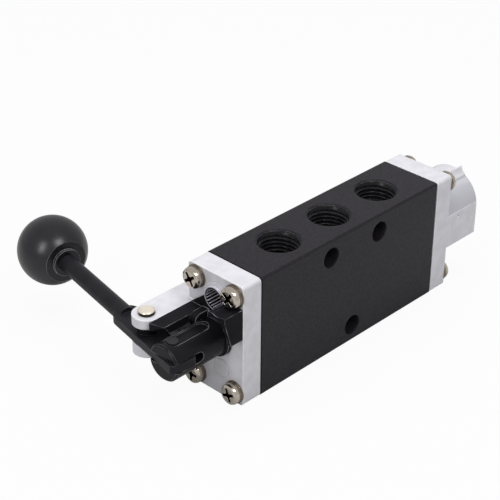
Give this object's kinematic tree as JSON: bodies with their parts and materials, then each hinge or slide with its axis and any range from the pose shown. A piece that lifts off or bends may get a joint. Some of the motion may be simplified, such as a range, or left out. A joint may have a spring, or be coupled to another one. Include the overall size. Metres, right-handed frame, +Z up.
{
  "type": "hand lever air control valve",
  "caption": "Hand lever spool valve with threaded air ports, metal end caps, a forked spool rod and a ball knob lever that swings on a vertical pin.",
  "frame": {"origin": "centre of the valve body's bottom face", "axes": "+X along the spool from the lever end to the rear cap, +Y towards the ball knob, +Z up through the row of three ports"},
  "size_m": [0.1333, 0.0924, 0.0406],
  "materials": {
    "anodised_body": "black anodised, fine matte",
    "cast_metal": "die-cast, satin",
    "nickel_screw": "bright nickel plate",
    "washer_plate": "bright plate",
    "black_moulding": "moulded, satin",
    "seal_rubber": "matte",
    "gasket_sheet": "matte",
    "sintered_bronze": "sintered",
    "bearing_bronze": "turned",
    "hard_steel": "ground",
    "spring_steel": "drawn wire",
    "black_oxide": "black oxide",
    "plated_pin": "bright plate",
    "painted_lever": "black coated",
    "knob_plastic": "polished phenolic",
    "brass_insert": "turned",
    "turned_aluminium": "turned",
    "yoke_black": "black anodised",
    "pin_steel": "ground"
  },
  "bodies": {
    "valve": {"valve_body": "anodised_body", "front_gasket": "gasket_sheet", "rear_gasket": "gasket_sheet", "front_cap": "cast_metal", "rear_cap": "cast_metal", "front_cap_screws": "nickel_screw", "front_spring_washers": "washer_plate", "front_flat_washers": "washer_plate", "rear_cap_screws": "nickel_screw", "rear_spring_washers": "washer_plate", "rear_flat_washers": "washer_plate", "rod_guide": "black_moulding", "rod_seal": "seal_rubber", "seal_washer": "hard_steel", "vent_plug": "black_moulding", "vent_filter": "sintered_bronze", "tail_bush": "bearing_bronze", "detent_ball": "hard_steel", "detent_spring": "spring_steel", "detent_screw": "black_oxide", "pivot_pin": "plated_pin", "pivot_clip": "black_oxide", "upper_pivot_washer": "black_moulding", "lower_pivot_washer": "black_moulding"},
    "hand_lever": {"lever": "painted_lever", "ball_knob": "knob_plastic", "knob_bush": "brass_insert"},
    "spool_rod": {"spool": "turned_aluminium", "spool_o_rings": "seal_rubber", "yoke": "yoke_black", "drive_pin": "pin_steel"}
  },
  "joints": [
    {"name": "lever_swing", "type": "hinge", "parent": "valve", "child": "hand_lever", "pos_m": [-0.0617, 0.0136, 0.0207], "axis": [0, 0, 1], "range_deg": [0, 22.4]},
    {"name": "spool_slide", "type": "slide", "parent": "valve", "child": "spool_rod", "axis": [1, 0, 0], "range_m": [0, 0.00539]}
  ],
  "couplings": [
    {"joint": "spool_slide", "follows": "lever_swing", "m_per_rad": 0.013775}
  ]
}
